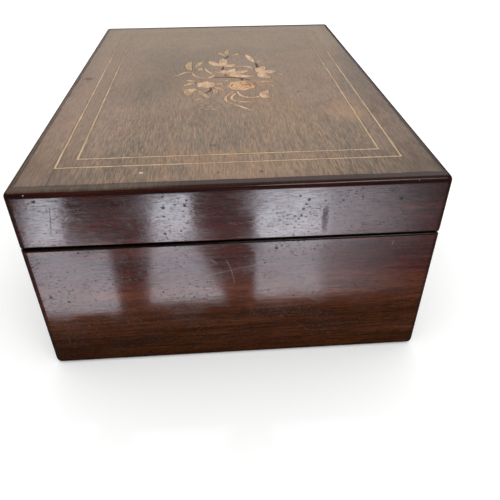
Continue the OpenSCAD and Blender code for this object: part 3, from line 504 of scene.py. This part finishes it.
def edging_wood(name, along):
    """Solid edging: faded, with the top's painted sheen, where it is part of the top, dark and glossy
    over its round.
    """
    s = Shader(name)
    faded, pore, _ = faded_colour(s, 0.58)
    streaks = s.noise(grain(along, 34, 1.1), detail=4, rough=0.6, offset=3.3)
    fibres = s.noise(grain(along, 8, 0.3), detail=2)
    dark = s.scale(
        s.ramp(streaks, ((0.3, (0.009, 0.0020, 0.0018)), (0.7, (0.036, 0.0085, 0.0065)))),
        s.range(fibres, 0.3, 0.7, 0.85, 1.15),
    )
    wavy = s.noise(grain(along, 30, 2), detail=3, offset=7.7)
    height = s.add(s.z, s.times(s.math("SUBTRACT", wavy, 0.5), 0.9))
    share = s.range(height, TOP - 0.8, TOP - 0.15)
    worn_red = s.range(s.add(s.y, s.times(wavy, 60)), -50, 20, 0.0, 0.85)
    share = s.times(share, s.math("SUBTRACT", 1.0, worn_red))
    red_lines = s.times(s.range(streaks, 0.58, 0.68),
                        s.range(height, TOP - 0.2, TOP + 0.4, 1.0, 0.4))
    share = s.times(share, s.math("SUBTRACT", 1.0, s.times(red_lines, 0.55)))
    chips = s.noise(grain(along, 2.4, 1.0), detail=2, offset=5.1)
    patchy = s.noise((30, 30, 30), detail=1, offset=2.7)
    on_arris = s.times(s.range(s.z, TOP - 2.2, TOP - 1.4),
                       s.range(s.z, TOP - 1.0, TOP - 0.3, 1.0, 0.0))
    chip = s.times(s.range(chips, 0.70, 0.76), on_arris, s.range(patchy, 0.5, 0.6), 0.6)
    colour = s.mix(share, dark, faded)
    colour = s.mix(chip, colour, (0.50, 0.43, 0.36))
    roughness = s.add(s.times(share, 0.22), s.range(wavy, 0.3, 0.7, 0.10, 0.2), s.times(chip, 0.4))
    relief = s.add(s.times(streaks, 0.02), s.times(pore, -0.02), s.times(chip, -0.05))
    return s.finish(colour, roughness, s.bump(relief, 1.0), IOR=1.5)


dress(edging_wood("edging_wood_ends", "y"), "edging_left", "edging_right")
dress(edging_wood("edging_wood_sides", "x"), "edging_front", "edging_back")


# ---------- stringing and marquetry ----------


def inlay(name, light, dark, fade=0.0, streak=(14, 0.7, 3), spread=0.6, faint=()):
    """Thin light wood, darker in its pores and dirt, and blended towards the far end into the faded
    veneer's colour, which carries its painted sheen.
    """
    s = Shader(name)
    tone = s.noise((9, 6, 6), detail=2, offset=1.7)
    streaks = s.noise(streak, detail=3, rough=0.6, offset=2.9)
    share = s.add(s.times(tone, 1 - spread), s.times(streaks, spread))
    colour = s.mix(s.range(share, 0.36, 0.66), dark, light)
    dirt = s.range(s.noise((5, 2, 2), detail=4, rough=0.65, offset=8.3), 0.56, 0.74, 0.0, 0.55)
    colour = s.mix(dirt, colour, (0.115, 0.075, 0.045))
    if fade:
        # Towards the far end the strings take the veneer's colour, with its painted sheen
        veneer, _, _ = faded_colour(s)
        reach = s.add(s.x, s.times(s.noise((50, 50, 50), detail=2), 60))
        gone = s.range(reach, -75, 25, fade, 0.0)
        colour = s.mix(gone, colour, veneer)
    for x, y, radius in faint:
        colour = s.mix(s.spot(s.x, s.y, (x, y), (radius, radius), 0.1), colour,
                       s.mix(s.range(share, 0.4, 0.6), (0.27, 0.175, 0.12), (0.34, 0.225, 0.155)))
    relief = s.add(s.times(streaks, 0.02), s.times(dirt, -0.02))
    return s.finish(colour, s.range(streaks, 0.3, 0.7, 0.34, 0.5), s.bump(relief, 1.0), IOR=1.47)


dress(inlay("boxwood_string", (0.62, 0.44, 0.265), (0.40, 0.25, 0.135), 0.8),
      "outer_string", "inner_string")
# The flower that stands alone has faded to nearly the tone of the field
dress(inlay("marquetry_pale", (0.74, 0.50, 0.31), (0.47, 0.28, 0.155), spread=0.45,
            faint=((52.5, -9.3, 9.0),)),
      "marquetry_lilies", "marquetry_flowers", "marquetry_ribbons")
dress(inlay("marquetry_warm", (0.74, 0.46, 0.26), (0.44, 0.21, 0.095), spread=0.35),
      "marquetry_rose")
dress(inlay("marquetry_leaf", (0.66, 0.44, 0.26), (0.36, 0.225, 0.125), spread=0.4),
      "marquetry_leaves")
dress(inlay("marquetry_stem", (0.13, 0.075, 0.045), (0.055, 0.030, 0.018)),
      "marquetry_stems")


# ---------- softwood carcass ----------


def softwood(name, along, glued_top=False):
    """Pine: pale early wood and darker late wood, sawn and dirty.

    It is dark where worn corners show it, behind the linings, and on a glued top.
    """
    s = Shader(name)
    sway = s.noise(grain(along, 90, 30), detail=2)
    rings = s.math("FRACT", s.add(s.times(s.noise(grain(along, 260, 16), detail=1), 14), sway))
    late = s.math("POWER", rings, 2.2)
    fibres = s.noise(grain(along, 10, 0.4), detail=3, rough=0.6)
    colour = s.mix(late, (0.52, 0.33, 0.165), (0.33, 0.165, 0.065))
    colour = s.scale(colour, s.range(fibres, 0.3, 0.7, 0.82, 1.1))
    dirt = s.range(s.noise((30, 30, 30), detail=4, rough=0.6), 0.45, 0.75, 0.0, 0.5)
    colour = s.mix(dirt, colour, (0.16, 0.095, 0.05))
    ends = s.add(s.range(s.z, 1.5, 5.0, 1.0, 0.0), s.range(s.z, TOP - 8, TOP - 4))
    outside = s.math("MAXIMUM",
                     s.range(s.math("ABSOLUTE", s.x), HALF_LENGTH - 5.5, HALF_LENGTH - 4.5),
                     s.range(s.math("ABSOLUTE", s.y), HALF_WIDTH - 5.5, HALF_WIDTH - 4.5))
    colour = s.mix(s.times(ends, outside), colour, (0.022, 0.010, 0.006))
    inset = s.math("MINIMUM", *s.insets())
    lined = s.times(s.range(inset, WALL - 0.5, WALL - 0.1), s.range(s.z, 1.0, 2.5))
    colour = s.mix(lined, colour, (0.055, 0.017, 0.013))
    if glued_top:
        glue = s.range(s.z, TOP - 1.3, TOP - 1.05)
        colour = s.mix(glue, colour, (0.020, 0.011, 0.007))
    relief = s.add(s.times(fibres, 0.05), s.times(late, 0.04))
    return s.finish(colour, s.range(fibres, 0.3, 0.7, 0.55, 0.75), s.bump(relief, 1.0), IOR=1.4)


pine_x = softwood("pine_along", "x")
pine_y = softwood("pine_across", "y")
dress(pine_x, "base_front_board", "base_back_board", "lid_front_board", "lid_back_board",
      "bottom_board")
dress(pine_y, "base_left_board", "base_right_board", "lid_left_board", "lid_right_board")
dress(softwood("pine_lid_top", "x", True), "lid_top_board")


def facing_wood(name):
    """Plain polished strips along the rims, with painted shade at their outer edge."""
    s = Shader(name)
    streaks = s.noise((20, 20, 0.8), detail=4, rough=0.6)
    colour = s.ramp(streaks, ((0.3, (0.012, 0.004, 0.003)), (0.7, (0.045, 0.014, 0.008))))
    dust = s.range(s.noise((14, 14, 14), detail=4, offset=2.0), 0.5, 0.75, 0.0, 0.25)
    colour = s.mix(dust, colour, (0.06, 0.038, 0.024))
    inset = s.math("MINIMUM", *s.insets())
    # Painted shade in the gap of the seam: darker towards the outer edge of the strips
    colour = s.scale(colour, s.range(inset, 1.5, 3.0, 0.12, 1.0))
    return s.finish(colour, s.range(streaks, 0.3, 0.7, 0.28, 0.45), s.bump(streaks, 0.02), IOR=1.48)


dress(facing_wood("rosewood_facing"), "base_rim_facings", "lid_rim_facings")


# ---------- metal ----------


def metal(name, clean, tarnish, rough_low, rough_high, line):
    """Old metal: drawn lines, brown patches of tarnish and fine scratches."""
    s = Shader(name)
    drawn = s.noise(line, detail=3, rough=0.6)
    patches = s.noise((6, 6, 6), detail=5, rough=0.65, offset=3.7)
    specks = s.noise((0.7, 0.7, 0.7), detail=2, offset=1.1)
    share = s.math("MAXIMUM", s.range(patches, 0.42, 0.68, 0.15, 0.85), s.range(specks, 0.66, 0.74))
    colour = s.scale(s.mix(share, clean, tarnish), s.range(drawn, 0.3, 0.7, 0.88, 1.08))
    roughness = s.range(share, 0.1, 0.9, rough_low, rough_high)
    relief = s.add(s.times(drawn, 0.006), s.times(specks, -0.006))
    return s.finish(colour, roughness, s.bump(relief, 1.0), Metallic=1.0)


brass = metal("brass_aged", (0.70, 0.47, 0.19), (0.26, 0.155, 0.065), 0.24, 0.5, (9, 0.25, 0.25))
steel = metal("steel_dark", (0.36, 0.35, 0.34), (0.12, 0.085, 0.065), 0.3, 0.6, (6, 0.3, 0.3))
dress(brass, *(f"hinge_{end}_{level}_leaf" for end in ("left", "right")
               for level in ("lower", "upper")),
      "hinge_lower_screws", "hinge_upper_screws", "lock_case", "lock_cap", "lock_selvedge",
      "lock_screws", "link_plate", "link_screws", "keyhole_escutcheon")
dress(steel, "hinge_left_pin", "hinge_right_pin", "lock_bolt", "lock_spring", "lock_key_pin",
      "bottom_nails")


# ---------- velvet linings ----------

# Breaks of a pad's grid in from each of its edges, and the longest step between them
EDGE_BREAKS = (0.0002, 0.0007, 0.0016, 0.0030)
LONGEST_STEP = 0.0045
# The simulation of a pad: its frames, how far a point may slip sideways, how much of the
# depth that its board leaves it may fill, and the share of the free swelling that is kept
CLOTH_FRAMES = 20
LARGEST_SLIP = 0.0004
FILLED = 0.985
KEPT_SWELLING = 0.25


def breaks(start, end, inner=()):
    """Grid lines from start to end, close together next to the edges and the inner edges."""
    edges = sorted({start, end, *inner})
    found = set(edges)
    for a, b in zip(edges, edges[1:]):
        found.update(a + step for step in EDGE_BREAKS)
        found.update(b - step for step in EDGE_BREAKS)
        first, last = a + EDGE_BREAKS[-1], b - EDGE_BREAKS[-1]
        count = max(1, math.ceil((last - first) / LONGEST_STEP))
        found.update(first + (last - first) * i / count for i in range(1, count))
    return sorted(found)


class Pad:
    """Padded panels gathered into one mesh: flat backs and crowned, rounded fronts."""

    def __init__(self):
        self.verts, self.faces, self.fronts = [], [], []

    def panel(self, origin, u_axis, v_axis, width, height, depth, notch=None):
        """A panel on a wall. notch is (u0, u1, v0), cut down to v0 from the top edge."""
        origin, u_axis, v_axis = Vector(origin), Vector(u_axis), Vector(v_axis)
        out = u_axis.cross(v_axis)
        us = breaks(0, width, notch[:2] if notch else ())
        vs = breaks(0, height, notch[2:] if notch else ())

        def to_edge(u, v):
            """How far a point is inside the outline."""
            inside = min(u, width - u, v, height - v)
            if notch:
                beside = max(notch[0] - u, u - notch[1], notch[2] - v)
                inside = min(inside, beside)
            return inside

        made = {}

        def vertex(i, j, front):
            u, v = us[i], vs[j]
            inset = to_edge(u, v)
            edge = inset < 1e-7
            key = (i, j, front and not edge)
            if key not in made:
                lift = 0.0
                if key[2]:
                    round_off = min(inset / EDGE_BREAKS[-1], 1)
                    lift = math.sqrt(1 - (1 - round_off) ** 2)
                    place = origin + u_axis * u + v_axis * v
                    soft = noise.noise(place * 28) * 0.10 + noise.noise(place * 90) * 0.05
                    lift *= depth * (0.86 + soft)
                made[key] = len(self.verts)
                self.verts.append(origin + u_axis * u + v_axis * v + out * lift)
                if key[2]:
                    self.fronts.append(made[key])
            return made[key]

        for i in range(len(us) - 1):
            for j in range(len(vs) - 1):
                if to_edge((us[i] + us[i + 1]) / 2, (vs[j] + vs[j + 1]) / 2) < 0:
                    continue
                corners = ((i, j), (i + 1, j), (i + 1, j + 1), (i, j + 1))
                self.faces.append([vertex(*corner, True) for corner in corners])
                self.faces.append([vertex(*corner, False) for corner in reversed(corners)])

    def build(self, name):
        mesh = bpy.data.meshes.new(name)
        mesh.from_pydata(self.verts, [], self.faces)
        mesh.validate()
        for polygon in mesh.polygons:
            polygon.use_smooth = True
        piece = bpy.data.objects.new(name, mesh)
        bpy.context.scene.collection.objects.link(piece)
        return piece


def inflate(piece, fronts, out, depth):
    """Blows the pad's front up as cloth and keeps it within the depth that its board leaves."""
    front_group = piece.vertex_groups.new(name="held")
    front = set(fronts)
    front_group.add([i for i in range(len(piece.data.vertices)) if i not in front], 1.0, "REPLACE")
    before = [vertex.co.copy() for vertex in piece.data.vertices]
    cloth = piece.modifiers.new("cloth", "CLOTH")
    settings = cloth.settings
    settings.quality = 6
    settings.mass = 0.2
    settings.tension_stiffness = settings.compression_stiffness = 25
    settings.bending_stiffness = 0.6
    settings.use_pressure = True
    settings.uniform_pressure_force = 4
    settings.vertex_group_mass = "held"
    settings.effector_weights.gravity = 0
    scene = bpy.context.scene
    for step in range(1, CLOTH_FRAMES + 1):
        scene.frame_set(step)
    blown = piece.evaluated_get(bpy.context.evaluated_depsgraph_get()).data
    after = [vertex.co.copy() for vertex in blown.vertices]
    piece.modifiers.clear()
    scene.frame_set(1)
    out = Vector(out)
    for i in fronts:
        start, moved = before[i], after[i] - before[i]
        rise = moved.dot(out)
        aside = moved - out * rise
        if aside.length > LARGEST_SLIP:
            aside *= LARGEST_SLIP / aside.length
        level = (start - piece.data.vertices[0].co).dot(out)
        room = max(depth * FILLED - level, 0.0)
        rise = room * math.tanh(max(rise, 0.0) / max(room, 1e-6) * KEPT_SWELLING)
        piece.data.vertices[i].co = start + aside + out * rise


def velvet():
    """Crimson pile, crushed and dulled in patches, with some dust."""
    s = Shader("velvet")
    pile = s.noise((0.35, 0.35, 0.35), detail=2, rough=0.6)
    crush = s.noise((20, 13, 13), detail=3, rough=0.5, offset=2.6)
    fade = s.noise((60, 60, 60), detail=2, offset=5.2)
    colour = s.mix(s.range(crush, 0.36, 0.66), (0.130, 0.008, 0.017), (0.205, 0.018, 0.030))
    colour = s.mix(s.range(fade, 0.45, 0.7, 0.0, 0.5), colour, (0.235, 0.055, 0.050))
    dust = s.range(s.noise((2.5, 2.5, 2.5), detail=4, rough=0.7), 0.62, 0.78, 0.0, 0.35)
    colour = s.mix(dust, colour, (0.34, 0.22, 0.18))
    colour = s.scale(colour, s.range(pile, 0.3, 0.7, 0.72, 1.2))
    relief = s.add(s.times(pile, 0.16), s.times(crush, 0.25))
    s.surface.inputs["Sheen Tint"].default_value = (0.95, 0.45, 0.45, 1)
    return s.finish(colour, s.range(crush, 0.3, 0.7, 0.78, 0.92), s.bump(relief, 1.0),
                    Sheen_Weight=0.5, Sheen_Roughness=0.4, IOR=1.4)


velvet_material = velvet()
# Thickness of the panels on the walls, the gap round the lock, how far the floor and lid
# pads stand in from their solids, and how much of their depth they fill before they swell
WALL_PAD = 0.0015
LOCK_GAP = 0.001
PAD_INSET = 0.0017
UNSWOLLEN = 0.7
X_AXIS, Y_AXIS, Z_AXIS = Vector((1, 0, 0)), Vector((0, 1, 0)), Vector((0, 0, 1))


def wall_panels(node, notch_from=None):
    """Four panels round the inside of a wall lining. Those on the long walls run through."""
    a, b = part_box(node)
    depth = WALL_PAD
    height, length, width = b[2] - a[2], b[0] - a[0], b[1] - a[1] - 2 * depth
    notch = None
    if notch_from:
        c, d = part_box(notch_from)
        notch = (b[0] - d[0] - LOCK_GAP, b[0] - c[0] + LOCK_GAP, c[2] - LOCK_GAP - a[2])
    pad = Pad()
    pad.panel((b[0], a[1], a[2]), -X_AXIS, Z_AXIS, length, height, depth, notch)
    pad.panel((a[0], b[1], a[2]), X_AXIS, Z_AXIS, length, height, depth)
    pad.panel((a[0], a[1] + depth, a[2]), Y_AXIS, Z_AXIS, width, height, depth)
    pad.panel((b[0], b[1] - depth, a[2]), -Y_AXIS, Z_AXIS, width, height, depth)
    return pad


def finish_pad(piece, node, body):
    """Dresses a lining and puts it in the place of its CAD solid."""
    piece.data.materials.append(velvet_material)
    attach(piece, body)
    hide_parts(node)


for name, node, body, up in (
    ("lining_floor", "floor_lining", "base", True),
    ("lining_lid", "lid_lining_panel", "lid", False),
):
    (x0, y0, z0), (x1, y1, z1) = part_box(node)
    pad = Pad()
    size = (x1 - x0 - 2 * PAD_INSET, y1 - y0 - 2 * PAD_INSET, (z1 - z0) * UNSWOLLEN)
    if up:
        pad.panel((x0 + PAD_INSET, y0 + PAD_INSET, z0), X_AXIS, Y_AXIS, *size)
    else:
        pad.panel((x0 + PAD_INSET, y1 - PAD_INSET, z1), X_AXIS, -Y_AXIS, *size)
    piece = pad.build(name)
    inflate(piece, pad.fronts, Z_AXIS if up else -Z_AXIS, z1 - z0)
    finish_pad(piece, node, body)

finish_pad(wall_panels("base_wall_linings", "lock_case").build("lining_base_walls"),
           "base_wall_linings", "base")
finish_pad(wall_panels("lid_wall_linings").build("lining_lid_walls"),
           "lid_wall_linings", "lid")


# ---------- stage and lights ----------


def stage_plane(name, x0, x1, y0, y1, z):
    """A level rectangle that belongs to the stage."""
    mesh = bpy.data.meshes.new(name)
    mesh.from_pydata([(x0, y0, z), (x1, y0, z), (x1, y1, z), (x0, y1, z)], [], [(0, 1, 2, 3)])
    plane = bpy.data.objects.new(name, mesh)
    bpy.context.scene.collection.objects.link(plane)
    return plane


def make_floor():
    """Pale and nearly white, with a little light of its own to lift it to the backdrop."""
    reach = 6.0
    floor = stage_plane("floor", -reach, reach, -reach, reach, low.z - 0.0002)
    s = Shader("pale_floor")
    floor.data.materials.append(s.finish((0.97, 0.97, 0.965), 0.9, IOR=1.2))
    s.surface.inputs["Emission Color"].default_value = (1, 1, 1, 1)
    s.surface.inputs["Emission Strength"].default_value = 0.12
    # The wood's gloss shows the light patches below and not the white floor
    floor.visible_glossy = False


# Patches of window light on the floor before the box, which only its gloss picks up. Each
# is given by where the end face mirrors it: its heights in mm, its left and right edge at
# the lowest height and at the highest, how soft its left and right edges are, and its power
LIGHT_PATCHES = (
    ((36.3, 76.8), (-98.5, -98), (-59.4, -59.4), (1.2, 1.2), 5.0),
    ((41.0, 76.8), (-43.7, -40), (-5.0, -19), (1.2, 1.8), 5.2),
    ((41.0, 76.8), (9.5, 10), (44, 40), (1.2, 5.0), 2.6),
    ((41.5, 76.8), (9.5, 10), (66, 62), (1.2, 34.0), 2.4),
    ((77.2, 106.5), (-95.5, -91), (-78.5, -75.5), (1.2, 1.2), 9.5),
    ((77.2, 106.5), (-38.2, -37.3), (-19.7, -19.4), (1.6, 1.6), 11.0),
    ((77.2, 107.5), (10.3, 10.3), (42, 40), (1.6, 6.0), 6.5),
    ((77.2, 107.5), (10.3, 10.3), (72, 72), (1.6, 30.0), 5.2),
)


def make_light_patches():
    """One plane that glows where the patches are, and faintly in between."""
    plane = stage_plane("light_patches", 0.16, 0.42, -0.22, 0.26, low.z + 0.0001)
    s = Shader("patch_light")
    # The place on the end face that mirrors each point of the floor to the camera's place
    reach = camera_place.x / MM - HALF_LENGTH
    beyond = s.math("SUBTRACT", s.x, HALF_LENGTH)
    share = s.math("DIVIDE", 1.0, s.math("ADD", beyond, reach))
    z = s.times(beyond, share, camera_place.z / MM)
    y_from = s.times(s.math("SUBTRACT", s.y, camera_place.y / MM), share, reach)
    y = s.math("ADD", y_from, camera_place.y / MM)
    total = s.range(z, 41, 77, 0.05, 0.30)
    for (z0, z1), left, right, (soft_left, soft_right), power in LIGHT_PATCHES:
        up = s.math("DIVIDE", s.math("SUBTRACT", z, z0), z1 - z0)
        from_left = s.math("SUBTRACT", y, s.add(s.times(up, left[1] - left[0]), left[0]))
        from_right = s.math("SUBTRACT", s.add(s.times(up, right[1] - right[0]), right[0]), y)
        inside = s.times(
            s.range(from_left, -soft_left, soft_left),
            s.range(from_right, -soft_right, soft_right),
            s.range(z, z0 - 0.8, z0 + 0.8), s.range(z, z1 - 1, z1 + 1, 1.0, 0.0),
        )
        total = s.add(total, s.times(inside, power))
    s.finish((0, 0, 0), 1.0)
    s.surface.inputs["Emission Color"].default_value = (0.87, 0.90, 1.0, 1)
    s.feed(s.surface.inputs["Emission Strength"], total)
    plane.data.materials.append(s.material)
    for ray in ("camera", "diffuse", "shadow", "transmission", "volume_scatter"):
        setattr(plane, "visible_" + ray, False)


def make_area_light(name, place, target, size, power):
    """A soft rectangle of light that faces its target. Power is in watts."""
    data = bpy.data.lights.new(name, "AREA")
    data.shape = "RECTANGLE"
    data.size, data.size_y = size
    data.energy = power
    light = bpy.data.objects.new(name, data)
    aim = (Vector(target) - Vector(place)).to_track_quat("-Z", "Y").to_matrix().to_4x4()
    light.matrix_world = Matrix.Translation(place) @ aim
    bpy.context.scene.collection.objects.link(light)


def make_world():
    """White all round, but dim where gloss would mirror it."""
    world = bpy.data.worlds.new("studio")
    world.use_nodes = True
    tree = world.node_tree
    sight = tree.nodes.new("ShaderNodeLightPath")
    strength = tree.nodes.new("ShaderNodeMapRange")
    for name, value in (("From Min", 0), ("From Max", 1), ("To Min", 1.0), ("To Max", 0.03)):
        strength.inputs[name].default_value = value
    tree.links.new(sight.outputs["Is Glossy Ray"], strength.inputs["Value"])
    tree.links.new(strength.outputs["Result"], tree.nodes["Background"].inputs["Strength"])
    tree.nodes["Background"].inputs["Color"].default_value = (1, 1, 1, 1)
    bpy.context.scene.world = world


make_floor()
make_light_patches()
make_world()
make_area_light("softbox_far", (-1.3, 0.1, 0.9), (0, 0, 0.1), (1.8, 1.0), 3)
make_area_light("softbox_high", (0.82, 0.40, 1.35), (0.15, 0.05, 0.1), (0.65, 0.3), 3)
bpy.context.scene.view_settings.view_transform = "Standard"
